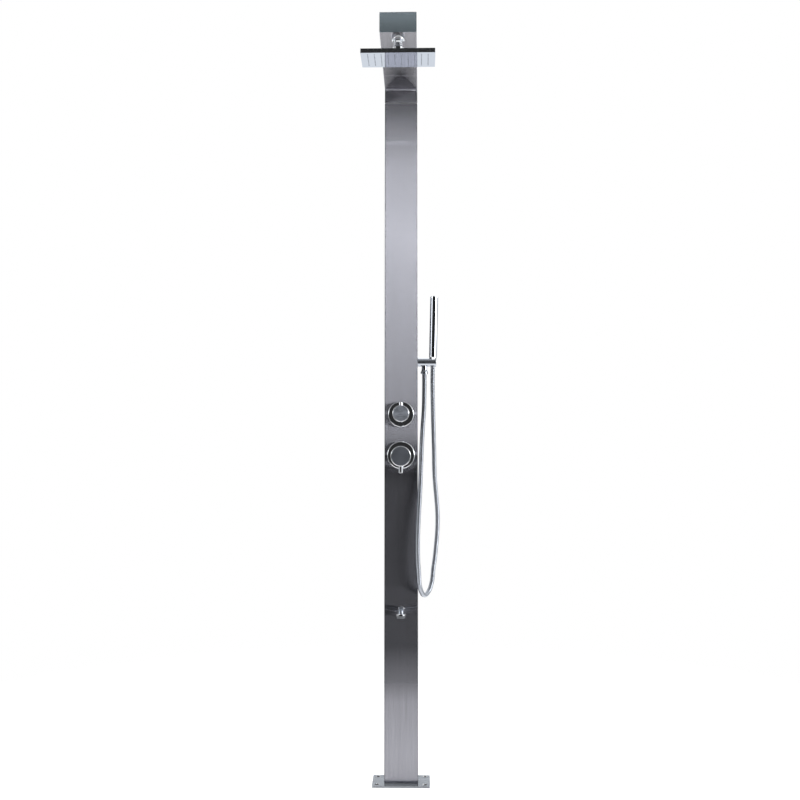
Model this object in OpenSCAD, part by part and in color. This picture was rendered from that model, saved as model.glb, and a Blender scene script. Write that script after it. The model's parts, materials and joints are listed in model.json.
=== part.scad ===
// Outdoor shower post: a brushed steel column with a forward arm, an overhead shower on a ball joint,
// a single lever mixer, a three way diverter, a hand shower on a hose and a foot spout.
// Millimetres. Origin: centre of the base plate's underside. +Z up, the front faces -Y, +X is the hand shower side.

/* [Column] */
// Width of the column and arm, across the front
col_w = 100; // [90:1:120]
// Depth of the column, and height of the arm
col_d = 55; // [52:1:65]
// Thickness of the column's steel sheet
sheet_t = 2; // [1.5:0.1:2.5]
// Thickness of the corner's and the arm's steel sheet
arm_t = 1.2; // [1:0.1:1.5]
// Rounding of the long edges
edge_r = 2; // [1.5:0.5:5]
// Height of the arm's underside above the ground
arm_under = 2097; // [2000:1:2200]
// How far the arm reaches in front of the column's front face
arm_reach = 389; // [330:1:450]
// Inside radius of the fold under the arm
bend_r = 5; // [4:1:40]
// Gap between the base plate and the column
col_gap = 1.5; // [1:0.5:8]

/* [Base] */
// Width of the base plate
plate_w = 170; // [160:1:200]
// Depth of the base plate
plate_d = 100; // [96:1:140]
// Thickness of the base plate
plate_t = 6; // [5:0.5:10]
// Diameter of the four anchor holes
anchor_d = 12; // [10:0.5:13]
// Spacing of the anchor holes across the front
anchor_dx = 140; // [130:1:145]
// Spacing of the anchor holes front to back
anchor_dy = 72; // [66:1:76]
// Height of the welded foot inside the column
foot_h = 300; // [280:10:360]
// Wall of the welded foot
foot_wall = 6; // [4:0.5:6.5]

/* [Overhead shower] */
// Width of the overhead shower
head_w = 200; // [180:1:250]
// Depth of the overhead shower
head_d = 100; // [96:1:160]
// Thickness of the overhead shower
head_t = 12; // [9:0.5:14]
// Gap from the arm's underside down to the overhead shower
head_drop = 53.5; // [52:0.5:60]
// Distance of the ball joint behind the arm's front end
head_set = 27; // [25:1:60]
// Spacing of the nozzle rows across the width
nozzle_pitch = 18; // [16:0.5:19]
// Spacing of the nozzles along a row
nozzle_step = 9; // [8:0.5:10]
// How far the front of the overhead shower hangs down, in degrees
head_nod = 2; // [0:0.1:4]
// How far its left end hangs down, in degrees
head_roll = 0; // [-3:0.1:3]

/* [Mixer] */
// Height of the mixer's centre
mixer_z = 968; // [940:1:1000]
// Diameter of the mixer's wall plate
mixer_plate_d = 83; // [78:1:92]
// Diameter of the mixer's handle
handle_d = 60; // [58:1:66]
// Diameter of the mixer's lever
lever_d = 13; // [8:0.5:14]
// Length of the lever from the handle's axis
lever_l = 51; // [45:1:58]
// How far the closed handle points down, in degrees
handle_dip = 6; // [0:1:8]

/* [Diverter] */
// Height of the diverter's centre
diverter_z = 1091; // [1080:1:1110]
// Diameter of the diverter's wall plate
diverter_plate_d = 78; // [72:1:86]
// Diameter of the diverter's knob
knob_d = 50; // [46:1:56]
// Diameter of the diverter's pin
knob_pin_d = 11; // [7:0.5:12]

/* [Hand shower] */
// Height of the holder's axis
bar_z = 1251; // [1200:1:1300]
// Diameter of the holder
bar_d = 26; // [26:0.5:30]
// How far the holder stands out from the column's side
bar_l = 56.5; // [56:0.5:62]
// Diameter of the hand shower
stick_d = 24; // [22:0.5:26]
// Length of the hand shower above the holder's axis
stick_l = 204; // [180:1:230]
// How far the hand shower leans outwards, in degrees
stick_lean = 1.3; // [0:0.1:2]
// Diameter of the shower hose
hose_d = 14; // [12:0.5:14.5]

/* [Foot spout] */
// Height of the foot spout's pipe
spout_z = 511; // [480:1:540]
// How far the foot spout stands out from the column
spout_reach = 25; // [23:1:40]
// Diameter of the foot spout's pipe
spout_d = 15; // [12:0.5:16]
// Diameter of the foot spout's nozzle
spout_nozzle_d = 27; // [24:0.5:28]

/* [Hidden] */

$fn = 64;
front_y = -col_d/2;
col_bottom = plate_t + col_gap;
seam_z = arm_under - 43;
arm_axis_z = arm_under + col_d/2;
bend_y = front_y - bend_r;
bend_z = arm_under - bend_r;
arm_front_y = front_y - arm_reach;
cap_t = 2;
// inside of the sheet metal
in_w = col_w - 2*sheet_t;
in_d = col_d - 2*sheet_t;
// welded foot, half a millimetre smaller all round than the inside of the column
foot_w = in_w - 1;
foot_d = in_d - 1;
inlet_x = 22;
thread_r = 10.48;
// relief behind an inlet nipple's thread, where its lock nut and bracket sit
shank_r = 9.8;
// ball joint
ball_y = arm_front_y + head_set;
ball_r = 9.5;
ball_drop = 18;
ball_z = arm_under - head_drop + ball_drop;
// valve geometry, measured outwards from the column's front face
pivot_out = 16;
handle_back = 6;
handle_len = 36;
knob_back = 12;
knob_len = 32;
// hand shower axis
stick_x = 96.5;
outlet_x = 70.5;
// foot spout
spout_bend = 8.5;
spout_y = front_y - spout_reach;

steel = [0.72, 0.72, 0.74];
chrome_c = [0.85, 0.87, 0.89];
brass_c = [0.78, 0.62, 0.32];
dark_rubber = [0.13, 0.13, 0.14];
braid = [0.62, 0.63, 0.65];
white_plastic = [0.88, 0.88, 0.86];

// ---------- helpers ----------
module rrect(w, h, r) {
  square([w, h - 2*r], center = true);
  square([w - 2*r, h], center = true);
  for (x = [-1, 1], y = [-1, 1]) translate([x*(w/2 - r), y*(h/2 - r)]) circle(r, $fn = 32);
}
// disc with a rounded front edge
module puck(r, h, e) {
  rotate_extrude($fn = 96) union() {
    square([r, h - e]);
    square([r - e, h]);
    translate([r - e, h - e]) circle(e, $fn = 32);
  }
}
// local +Z points out of the column's front face
module front(z) translate([0, front_y, z]) rotate([90, 0, 0]) children();
// local +Z points out of the column's right side
module side(z) translate([col_w/2, 0, z]) rotate([0, 90, 0]) children();
// local +Z points out of the column's rear face
module rear(x, z) translate([x, col_d/2, z]) rotate([-90, 0, 0]) children();
module hex_nut(af, bore, h) difference() {
  cylinder(r = af/2/cos(30), h = h, $fn = 6);
  translate([0, 0, -1]) cylinder(r = bore, h = h + 2);
}

function unit(v) = v / norm(v);
function heading(p, i) = unit(p[min(i + 1, len(p) - 1)] - p[max(i - 1, 0)]);
// tube swept along route points; ref is a direction that the route never runs along
module swept(p, r, sides, ref) {
  n = len(p);
  pts = [for (i = [0:n - 1]) let (t = heading(p, i), u = unit(cross(t, ref)), v = cross(t, u))
    for (j = [0:sides - 1]) p[i] + r*(cos(360*j/sides)*u + sin(360*j/sides)*v)];
  faces = concat(
    [[for (j = [0:sides - 1]) j]],
    [[for (j = [0:sides - 1]) (n - 1)*sides + sides - 1 - j]],
    [for (i = [0:n - 2], j = [0:sides - 1]) let (k = (j + 1) % sides)
      [i*sides + j, (i + 1)*sides + j, (i + 1)*sides + k, i*sides + k]]);
  polyhedron(points = pts, faces = faces, convexity = 10);
}

// ---------- hose routes ----------
hose_route = [
  [70.5, 0, 1216], [70.5, 0, 1184], [70, -2, 1148], [69, -6, 1108], [66, -12, 1064], [63, -19, 1014],
  [61, -27, 968], [59.5, -33, 926], [58, -37, 886], [56, -41, 846], [53.5, -46, 800], [51, -50.5, 750],
  [49.8, -54.5, 700], [50.8, -57, 650], [53, -57, 620], [54.5, -54.5, 590.5], [56.5, -48.5, 577],
  [59.5, -39.5, 565.5], [63.5, -28, 556.5], [68, -14.5, 551], [72.5, 0, 549], [77.5, 14.5, 551],
  [82.5, 28, 556.5], [87.5, 39.5, 565.5], [91, 48.5, 577], [94, 54.5, 590.5], [97, 58, 620],
  [102, 58, 655], [106, 56, 694], [109.3, 53.5, 732], [110.5, 49, 768], [109.5, 43, 806], [106, 35, 848],
  [102.5, 28, 890], [100.5, 22, 930], [100, 18, 968], [99, 14, 1014], [97.5, 9, 1070], [96.3, 4, 1130],
  [95.5, 1, 1180], [95.8, 0, 1220], [96.3, 0, 1242], [96.8, 0, 1265.5]
];
hose_side = unit([0.9, -0.44, 0]);

supply_top_z = mixer_z - 33;
function supply_route(s) = [
  [s*inlet_x, 0, 58], [s*inlet_x, 0, 76], [s*24, 3, 130], [s*26, 5, 190], [s*26, 5, foot_h + 30],
  [s*26, 10, foot_h + 80], [s*26, 14, foot_h + 130],
  [s*26, 14, supply_top_z - 110], [s*24, 11, supply_top_z - 85], [s*17, 1, supply_top_z - 48],
  [s*12, -4, supply_top_z - 20], [s*12, -4, supply_top_z]
];
riser_bend = 60;
riser_z = ball_z + 56;
riser_route = concat(
  [[-14, -4, diverter_z + 30], [-14, -4, diverter_z + 50], [-20, -1, diverter_z + 110], [-20, 0, diverter_z + 180],
   [-20, 0, 1700], [-20, 0, riser_z - riser_bend]],
  [for (a = [15:15:75]) [-20, -riser_bend*(1 - cos(a)), riser_z - riser_bend*(1 - sin(a))]],
  [[-20, -riser_bend, riser_z], [-20, -200, riser_z], [-16, -250, riser_z], [-4, -300, riser_z],
   [0, -335, riser_z], [0, ball_y + 26, riser_z]]);
feed_route = [
  [14, -4, diverter_z + 30], [14, -4, diverter_z + 48], [17, -3, diverter_z + 75], [24, -1, diverter_z + 105],
  [27, 0, bar_z - 40], [27, 0, bar_z - 22]
];
foot_route = [
  [15, -4, diverter_z - 30], [15, -4, diverter_z - 46], [24, -5, diverter_z - 62], [35, -6, diverter_z - 84],
  [38.5, -6, diverter_z - 110], [38.5, -6, 860], [38.5, -8, 700], [34, -10, 660], [20, -11, 620],
  [6, -12, 585], [0, -12, 565], [0, -12, spout_z + 22]
];
// ends of the inner hoses: position, heading away from the fitting
ferrules = [
  [[-inlet_x, 0, 58], [0, 0, 1], 6], [[inlet_x, 0, 58], [0, 0, 1], 6],
  [[-12, -4, supply_top_z], [0, 0, -1], 6], [[12, -4, supply_top_z], [0, 0, -1], 6],
  [[-14, -4, diverter_z + 30], [0, 0, 1], 6], [[0, ball_y + 26, riser_z], [0, 1, 0], 6],
  [[14, -4, diverter_z + 30], [0, 0, 1], 5], [[27, 0, bar_z - 22], [0, 0, -1], 5],
  [[15, -4, diverter_z - 30], [0, 0, -1], 5], [[0, -12, spout_z + 22], [0, 0, 1], 5]
];

// ---------- base ----------
module anchor_places() for (x = [-1, 1], y = [-1, 1]) translate([x*anchor_dx/2, y*anchor_dy/2, 0]) children();
module base_plate() color(steel) difference() {
  linear_extrude(plate_t) rrect(plate_w, plate_d, 2);
  anchor_places() {
    translate([0, 0, -1]) cylinder(d = anchor_d, h = plate_t + 2);
    translate([0, 0, plate_t - 1]) cylinder(d1 = anchor_d, d2 = anchor_d + 2.4, h = 1.2);
  }
  translate([0, 0, -1]) linear_extrude(plate_t + 2) rrect(84, 40, 4);
}
foot_screw_places = [for (x = [-30, 30], z = [60, foot_h - 60]) [x, z]];
module foot_socket() color(steel) difference() {
  translate([0, 0, plate_t]) linear_extrude(foot_h - plate_t) difference() {
    rrect(foot_w, foot_d, 2);
    square([foot_w - 2*foot_wall, foot_d - 2*foot_wall], center = true);
  }
  for (p = foot_screw_places) rear(p[0], p[1]) translate([0, 0, -12]) cylinder(r = 2.5, h = 14, $fn = 32);
}
module foot_screws() color(steel) for (p = foot_screw_places) rear(p[0], p[1]) {
  difference() {
    puck(4.75, 2.6, 1.2);
    translate([0, 0, 1.4]) cylinder(r = 1.75, h = 2, $fn = 6);
  }
  translate([0, 0, -6]) cylinder(r = 2.5, h = 6, $fn = 32);
}
module inlet_bracket() color(steel) difference() {
  translate([0, 0, 40]) linear_extrude(3) square([foot_w - 2*foot_wall, foot_d - 2*foot_wall], center = true);
  for (s = [-1, 1]) translate([s*inlet_x, 0, 39]) cylinder(r = shank_r + 0.1, h = 5);
}
module inlet_nipples() color(brass_c) for (s = [-1, 1]) translate([s*inlet_x, 0, 0]) difference() {
  union() {
    translate([0, 0, 18]) cylinder(r = thread_r, h = 15);
    translate([0, 0, 33]) cylinder(r = shank_r, h = 10);
    translate([0, 0, 43]) cylinder(r = 13.5, h = 6, $fn = 6);
    translate([0, 0, 49]) cylinder(r = 8, h = 9);
  }
  translate([0, 0, 17]) cylinder(r = 6.5, h = 30);
  translate([0, 0, 46]) cylinder(r = 4, h = 20);
}
module lock_nuts() color(brass_c) {
  for (s = [-1, 1]) translate([s*inlet_x, 0, 34]) hex_nut(25, shank_r, 6);
  translate([0, ball_y, arm_under + arm_t]) hex_nut(25, thread_r, 6);
  side(bar_z) translate([0, 0, -sheet_t - 6]) hex_nut(25, thread_r, 6);
}

// ---------- column and arm ----------
module skin(t = sheet_t) difference() {
  rrect(col_w, col_d, edge_r);
  rrect(col_w - 2*t, col_d - 2*t, max(edge_r - t, 0.4));
}
panel_z = 1030;
panel_h = 250;
panel_screw_places = [for (x = [-34, 34], z = [panel_z - panel_h/2 + 7, panel_z + panel_h/2 - 7]) [x, z]];
module column_shell() color(steel) difference() {
  translate([0, 0, col_bottom]) linear_extrude(seam_z - col_bottom) skin();
  front(mixer_z) translate([0, 0, -5]) cylinder(r = 20.3, h = 10);
  front(diverter_z) translate([0, 0, -5]) cylinder(r = 16.3, h = 10);
  front(spout_z) translate([0, 0, -5]) cylinder(r = spout_d/2 + 0.3, h = 10);
  side(bar_z) translate([0, 0, -5]) cylinder(r = thread_r + 0.1, h = 10);
  translate([-30, col_d/2 - 5, panel_z - panel_h/2 + 14]) cube([60, 10, panel_h - 28]);
  for (p = panel_screw_places) rear(p[0], p[1]) translate([0, 0, -5]) cylinder(r = 1.6, h = 10, $fn = 32);
  for (p = foot_screw_places) rear(p[0], p[1]) translate([0, 0, -sheet_t - 0.3]) cylinder(r = 2.6, h = 10, $fn = 32);
}
module corner_bend() color(steel) union() {
  translate([0, 0, seam_z]) linear_extrude(bend_z - seam_z) skin(arm_t);
  translate([0, bend_y, bend_z]) rotate([90, 0, 90]) rotate_extrude(angle = 90, $fn = 128)
    translate([bend_r + col_d/2, 0]) rotate(90) skin(arm_t);
}
module arm_shell() color(steel) difference() {
  translate([0, bend_y, arm_axis_z]) rotate([90, 0, 0]) linear_extrude(bend_y - arm_front_y - cap_t) skin(arm_t);
  translate([0, ball_y, arm_under - 4]) cylinder(r = thread_r + 0.1, h = 8);
}
module arm_end_cap() color(steel)
  translate([0, arm_front_y + cap_t, arm_axis_z]) rotate([90, 0, 0]) linear_extrude(cap_t) rrect(col_w, col_d, edge_r);
module rear_access_panel() color(steel) difference() {
  rear(0, panel_z) linear_extrude(sheet_t) rrect(80, panel_h, 4);
  for (p = panel_screw_places) rear(p[0], p[1]) translate([0, 0, -1]) cylinder(r = 2, h = 5, $fn = 32);
}
module panel_screws() color(steel) for (p = panel_screw_places) rear(p[0], p[1]) {
  translate([0, 0, sheet_t]) difference() {
    puck(3.5, 2, 0.9);
    translate([0, 0, 1]) cylinder(r = 1.2, h = 2, $fn = 6);
  }
  translate([0, 0, -3]) cylinder(r = 1.55, h = 3 + sheet_t, $fn = 32);
}

// ---------- inner hoses ----------
module cold_supply_hose() color(braid) swept(supply_route(-1), 6, 12, [1, 0, 0]);
module hot_supply_hose() color(braid) swept(supply_route(1), 6, 12, [1, 0, 0]);
module riser_pipe() color(white_plastic) swept(riser_route, 6, 12, [1, 0, 0]);
module handset_feed_hose() color(braid) swept(feed_route, 5, 12, [0, 1, 0]);
module foot_feed_hose() color(braid) swept(foot_route, 5, 12, [0, 1, 0]);
module mixed_water_pipe() color(brass_c) translate([0, -4, mixer_z + 33]) difference() {
  cylinder(r = 7, h = diverter_z - mixer_z - 63);
  translate([0, 0, -1]) cylinder(r = 5.5, h = 200);
}
module hose_ferrules() color(steel) for (f = ferrules) translate(f[0])
  rotate(f[1][1] > 0.5 ? [-90, 0, 0] : f[1][2] < 0 ? [180, 0, 0] : [0, 0, 0]) difference() {
    cylinder(r = f[2] + 2, h = 12);
    translate([0, 0, -1]) cylinder(r = f[2] + 0.3, h = 14);
  }
module valve_gaskets() color(dark_rubber) {
  front(mixer_z) translate([0, 0, -sheet_t - 1]) difference() {
    cylinder(r = 23.5, h = 1);
    translate([0, 0, -1]) cylinder(r = 20.1, h = 3);
  }
  front(diverter_z) translate([0, 0, -sheet_t - 1]) difference() {
    cylinder(r = 20.5, h = 1);
    translate([0, 0, -1]) cylinder(r = 16.1, h = 3);
  }
}

// ---------- mixer ----------
// upright nipple on a valve body, its foot inside the body
module port(x, up, r) translate([x, 0, 0]) rotate([up > 0 ? -90 : 90, 0, 0]) children();
module mixer_body() color(brass_c) front(mixer_z) difference() {
  union() {
    translate([0, 0, -42]) cylinder(r = 24, h = 42 - sheet_t - 1);
    translate([0, 0, -5]) cylinder(r = 20, h = 11);
    for (x = [-12, 12]) translate([x, 0, -23.5]) rotate([90, 0, 0]) cylinder(r = 8, h = 33);
    translate([0, 0, -23.5]) rotate([-90, 0, 0]) cylinder(r = 9, h = 33);
  }
  translate([0, 0, -32]) cylinder(r = 17.5, h = 60);
  for (x = [-12, 12]) translate([x, -16, -23.5]) rotate([90, 0, 0]) cylinder(r = 4.5, h = 30);
  translate([0, 16, -23.5]) rotate([-90, 0, 0]) cylinder(r = 5.5, h = 30);
}
module mixer_cartridge() color(white_plastic) front(mixer_z) difference() {
  translate([0, 0, -32]) cylinder(r = 17.5, h = 32);
  translate([0, 0, -11]) cylinder(r = 11, h = 20);
  for (x = [-7, 7], y = [-7]) translate([x, y, -33]) cylinder(r = 3, h = 10, $fn = 32);
  translate([0, 8, -33]) cylinder(r = 3, h = 10, $fn = 32);
}
module cartridge_ring() color(brass_c) front(mixer_z) difference() {
  cylinder(r = 17.5, h = 5);
  translate([0, 0, -1]) cylinder(r = 11.5, h = 8);
}
module mixer_nut() color(brass_c) front(mixer_z) difference() {
  cylinder(r = 26, h = 4.8);
  translate([0, 0, -1]) cylinder(r = 20, h = 8);
}
module mixer_escutcheon() color(chrome_c) front(mixer_z) difference() {
  puck(mixer_plate_d/2, 10, 3);
  translate([0, 0, -1]) cylinder(r = mixer_plate_d/2 - 4, h = 8);
  translate([0, 0, -1]) cylinder(r = 22.2, h = 20);
}
module mixer_sleeve() color(chrome_c) front(mixer_z) difference() {
  union() {
    translate([0, 0, 4.8]) cylinder(r = 22, h = pivot_out - 4.8);
    translate([0, 0, pivot_out]) sphere(22, $fn = 96);
  }
  translate([0, 0, -30]) cylinder(r = 60, h = 34.8);
  translate([0, 0, 4]) cylinder(r = 20.2, h = pivot_out - 4);
  translate([0, 0, pivot_out]) sphere(20.2, $fn = 96);
  translate([0, 0, pivot_out]) cylinder(r = 11, h = 30);
}
module mixer_spindle() color(steel) front(mixer_z) difference() {
  union() {
    translate([0, 0, -10]) cylinder(r = 10.9, h = 16);
    intersection() {
      translate([0, 0, 5]) cylinder(r = 10.9, h = pivot_out + 4 - 5);
      for (x = [-1, 1]) translate([x*8.2 - 2, -4, 5]) cube([4, 8, 20]);
    }
  }
  translate([0, 0, pivot_out]) rotate([0, 90, 0]) cylinder(r = 2, h = 40, center = true, $fn = 32);
}
module mixer_cross_pin() color(steel) front(mixer_z) translate([0, 0, pivot_out])
  rotate([0, 90, 0]) cylinder(r = 2, h = 20, center = true, $fn = 32);
// handle frame: origin at the lever's pivot, +Z out along the handle's axis, -Y towards the lever
module handle_frame() translate([0, front_y - pivot_out, mixer_z]) rotate([handle_dip, 0, 0]) rotate([90, 0, 0]) children();
module mixer_stem() color(steel) handle_frame() difference() {
  union() {
    rotate([0, 90, 0]) cylinder(r = 4.6, h = 12, center = true);
    cylinder(r = 4.5, h = 38);
  }
  rotate([0, 90, 0]) cylinder(r = 2.05, h = 40, center = true, $fn = 32);
}
module mixer_handle() color(chrome_c) handle_frame() difference() {
  translate([0, 0, handle_back]) union() {
    puck(handle_d/2, handle_len, 2.5);
  }
  translate([0, 0, handle_back - 1]) cylinder(r = 26.5, h = 27);
  cylinder(r = 4.52, h = 38);
  translate([0, -20, 26]) rotate([90, 0, 0]) cylinder(d = lever_d - 2, h = 20);
  translate([0, 4, 34]) rotate([-90, 0, 0]) cylinder(r = 2, h = 40, $fn = 32);
}
module mixer_lever() color(chrome_c) handle_frame() translate([0, 0, 26]) {
  translate([0, -handle_d/2 + 0.4, 0]) rotate([90, 0, 0]) difference() {
    puck(lever_d/2, lever_l - handle_d/2 + 0.4, 1.6);
    translate([0, 0, -handle_d/2 + 0.4]) rotate([90, 0, 0]) cylinder(r = handle_d/2 + 0.02, h = 40, center = true, $fn = 128);
  }
  translate([0, -25, 0]) rotate([90, 0, 0]) cylinder(d = lever_d - 2, h = 6.5);
}
module mixer_grub_screw() color(steel) handle_frame() translate([0, 0, 34]) rotate([-90, 0, 0]) difference() {
  translate([0, 0, 4.6]) cylinder(r = 2, h = 9, $fn = 32);
  translate([0, 0, 11]) cylinder(r = 1, h = 4, $fn = 6);
}

// ---------- diverter ----------
module diverter_body() color(brass_c) front(diverter_z) difference() {
  union() {
    translate([0, 0, -42]) cylinder(r = 22, h = 42 - sheet_t - 1);
    translate([0, 0, -5]) cylinder(r = 16, h = 10);
    for (x = [-14, 14]) translate([x, 0, -23.5]) rotate([-90, 0, 0]) cylinder(r = 7, h = 30);
    translate([0, 0, -23.5]) rotate([90, 0, 0]) cylinder(r = 7, h = 30);
    translate([15, 0, -23.5]) rotate([90, 0, 0]) cylinder(r = 6.5, h = 30);
  }
  translate([0, 0, -30]) cylinder(r = 13, h = 60);
  for (x = [-14, 14]) translate([x, 14, -23.5]) rotate([-90, 0, 0]) cylinder(r = 4, h = 30);
  translate([0, -8, -23.5]) rotate([90, 0, 0]) cylinder(r = 5, h = 30);
  translate([15, -14, -23.5]) rotate([90, 0, 0]) cylinder(r = 3.5, h = 30);
}
module diverter_cartridge() color(white_plastic) front(diverter_z) difference() {
  union() {
    translate([0, 0, -30]) cylinder(r = 13, h = 34);
    translate([0, 0, 4]) cylinder(r = 11, h = 6);
  }
  translate([0, 0, -20]) cylinder(r = 5.05, h = 40);
}
module diverter_nut() color(brass_c) front(diverter_z) difference() {
  cylinder(r = 22, h = 4.8);
  translate([0, 0, -1]) cylinder(r = 16, h = 8);
}
module diverter_escutcheon() color(chrome_c) front(diverter_z) difference() {
  puck(diverter_plate_d/2, 9, 3);
  translate([0, 0, -1]) cylinder(r = diverter_plate_d/2 - 4, h = 7);
  translate([0, 0, -1]) cylinder(r = 13.5, h = 20);
}
module diverter_stem() color(steel) front(diverter_z) translate([0, 0, -18]) cylinder(r = 5, h = 56);
module diverter_knob() color(chrome_c) front(diverter_z) difference() {
  translate([0, 0, knob_back]) puck(knob_d/2, knob_len, 2.5);
  translate([0, 0, knob_back - 1]) cylinder(r = 20, h = 13);
  cylinder(r = 5.02, h = 38);
  translate([0, 15, 29]) rotate([-90, 0, 0]) cylinder(d = knob_pin_d - 2, h = 20);
  translate([0, -4, 33]) rotate([90, 0, 0]) cylinder(r = 2, h = 40, $fn = 32);
}
module diverter_pin() color(chrome_c) front(diverter_z) translate([0, 0, 29]) {
  translate([0, knob_d/2 - 0.4, 0]) rotate([-90, 0, 0]) difference() {
    puck(knob_pin_d/2, 10, 1.4);
    translate([0, 0, -knob_d/2 + 0.4]) rotate([90, 0, 0]) cylinder(r = knob_d/2 + 0.02, h = 40, center = true, $fn = 128);
  }
  translate([0, 18, 0]) rotate([-90, 0, 0]) cylinder(d = knob_pin_d - 2, h = 9);
}
module diverter_grub_screw() color(steel) front(diverter_z) translate([0, 0, 33]) rotate([90, 0, 0]) difference() {
  translate([0, 0, 5.1]) cylinder(r = 2, h = 8, $fn = 32);
  translate([0, 0, 11]) cylinder(r = 1, h = 4, $fn = 6);
}

// ---------- overhead shower ----------
module ball_frame() translate([0, ball_y, ball_z]) children();
module head_frame() ball_frame() rotate([head_nod, -head_roll, 0]) children();
// height of the arm's underside above the ball's centre
union_h = head_drop - ball_drop;
module head_union() color(chrome_c) ball_frame() difference() {
  union() {
    translate([0, 0, union_h]) rotate([180, 0, 0]) puck(18, 14, 4);
    translate([0, 0, union_h - 2]) cylinder(r = thread_r, h = 32);
    translate([0, 0, riser_z - ball_z]) rotate([-90, 0, 0]) cylinder(r = 7, h = 26);
  }
  translate([0, 0, union_h - 15]) cylinder(r = 6.05, h = 26);
  translate([0, 0, union_h + 10]) cylinder(r = 4, h = 14);
  translate([0, 3, riser_z - ball_z]) rotate([-90, 0, 0]) cylinder(r = 4, h = 30);
}
module ball_stem() color(chrome_c) ball_frame() difference() {
  union() {
    sphere(ball_r, $fn = 96);
    cylinder(r = 4.6, h = union_h);
    translate([0, 0, 14]) cylinder(r1 = 10.5, r2 = 11.5, h = 1);
    translate([0, 0, 15]) cylinder(r = 11.5, h = union_h - 14 - 15);
    translate([0, 0, 16]) cylinder(r = 6, h = union_h + 10 - 16);
  }
  translate([0, 0, -20]) cylinder(r = 2.8, h = 80);
}
module seat(r0, r1) ball_frame() difference() {
  intersection() {
    sphere(r1, $fn = 96);
    cube([60, 60, 12], center = true);
  }
  sphere(r0, $fn = 96);
}
module ball_seat_inner() color(white_plastic) seat(ball_r + 0.06, ball_r + 1.5);
module ball_seat_outer() color(dark_rubber) seat(ball_r + 1.56, ball_r + 3);
module head_collar() color(chrome_c) head_frame() difference() {
  union() {
    translate([0, 0, -ball_drop]) cylinder(r = 16, h = 2.5, $fn = 96);
    translate([0, 0, -ball_drop]) cylinder(r = 14.8, h = ball_drop + 3, $fn = 96);
    translate([0, 0, 3]) cylinder(r1 = 14.8, r2 = 12.4, h = 5, $fn = 96);
    translate([0, 0, 8]) cylinder(r = 12.4, h = 2.2, $fn = 96);
  }
  sphere(ball_r + 3.06, $fn = 96);
  translate([0, 0, -30]) cylinder(r = 5, h = 30);
  cylinder(r = 8.6, h = 30);
}
nozzle_x = [for (i = [0:9]) (i - 4.5)*nozzle_pitch];
nozzle_y = [for (i = [0:8]) (i - 4)*nozzle_step];
module nozzle_places() for (x = nozzle_x, y = nozzle_y) translate([x, y, 0]) children();
module head_top_shell() color(chrome_c) head_frame() translate([0, 0, -ball_drop - head_t]) difference() {
  translate([0, 0, 1]) linear_extrude(head_t - 1) rrect(head_w, head_d, 1);
  linear_extrude(head_t - 1.2) rrect(head_w - 2.4, head_d - 2.4, 0.5);
  cylinder(r = 5, h = 30);
}
module head_face_plate() color(chrome_c) head_frame() translate([0, 0, -ball_drop - head_t]) difference() {
  linear_extrude(1) rrect(head_w, head_d, 1);
  nozzle_places() translate([0, 0, -1]) cylinder(r = 1.3, h = 3, $fn = 20);
}
module nozzle_mat() color(dark_rubber) head_frame() translate([0, 0, -ball_drop - head_t]) {
  translate([0, 0, 1]) linear_extrude(1.5) square([head_w - 10, head_d - 10], center = true);
  nozzle_places() translate([0, 0, -0.6]) cylinder(r = 1.3, h = 2.1, $fn = 20);
}

// ---------- hand shower ----------
// stick frame: origin on the holder's axis, +Z up along the hand shower
module stick_frame() translate([stick_x, 0, bar_z]) rotate([0, stick_lean, 0]) children();
module holder_bar() color(chrome_c) difference() {
  union() {
    side(bar_z) puck(bar_d/2, bar_l, 1.2);
    side(bar_z) translate([0, 0, -16]) cylinder(r = thread_r, h = 20);
  }
  side(bar_z) translate([0, 0, -17]) cylinder(r = 5, h = 40);
  translate([outlet_x, 0, bar_z - 20]) cylinder(r = 7, h = 14);
  translate([outlet_x, 0, bar_z - 10]) cylinder(r = 4, h = 10);
  stick_frame() translate([0, 0, -20]) cylinder(r = 8.75, h = 40);
  stick_frame() cylinder(r1 = 8.75, r2 = 12.35, h = 15.5);
}
module feed_elbow() color(brass_c) difference() {
  union() {
    translate([18, 0, bar_z]) rotate([0, 90, 0]) cylinder(r = 9, h = col_w/2 - 16 - 18);
    translate([27, 0, bar_z - 22]) cylinder(r = 7, h = 22);
  }
  translate([24, 0, bar_z]) rotate([0, 90, 0]) cylinder(r = 4, h = 20);
  translate([27, 0, bar_z - 23]) cylinder(r = 4, h = 22);
}
module outlet_nipple() color(chrome_c) translate([outlet_x, 0, 0]) difference() {
  union() {
    difference() {
      translate([0, 0, bar_z - 24]) cylinder(r = 8.2, h = 16);
      translate([0, 0, bar_z]) rotate([0, 90, 0]) cylinder(d = bar_d, h = 40, center = true, $fn = 96);
    }
    translate([0, 0, bar_z - 16]) cylinder(r = 7, h = 8);
    translate([0, 0, bar_z - 30]) cylinder(r = 6.5, h = 8);
  }
  translate([0, 0, bar_z - 31]) cylinder(r = 4, h = 30);
}
module hose_lower_nut() color(chrome_c) translate([outlet_x, 0, 0]) difference() {
  union() {
    translate([0, 0, bar_z - 35]) cylinder(r = 11, h = 5);
    translate([0, 0, bar_z - 30]) cylinder(r1 = 11, r2 = 8.6, h = 6);
  }
  translate([0, 0, bar_z - 30]) cylinder(r = 6.52, h = 20);
  translate([0, 0, bar_z - 36]) cylinder(r = 4, h = 20);
}
module shower_hose() color(braid) swept(hose_route, hose_d/2, 12, hose_side);
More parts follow.
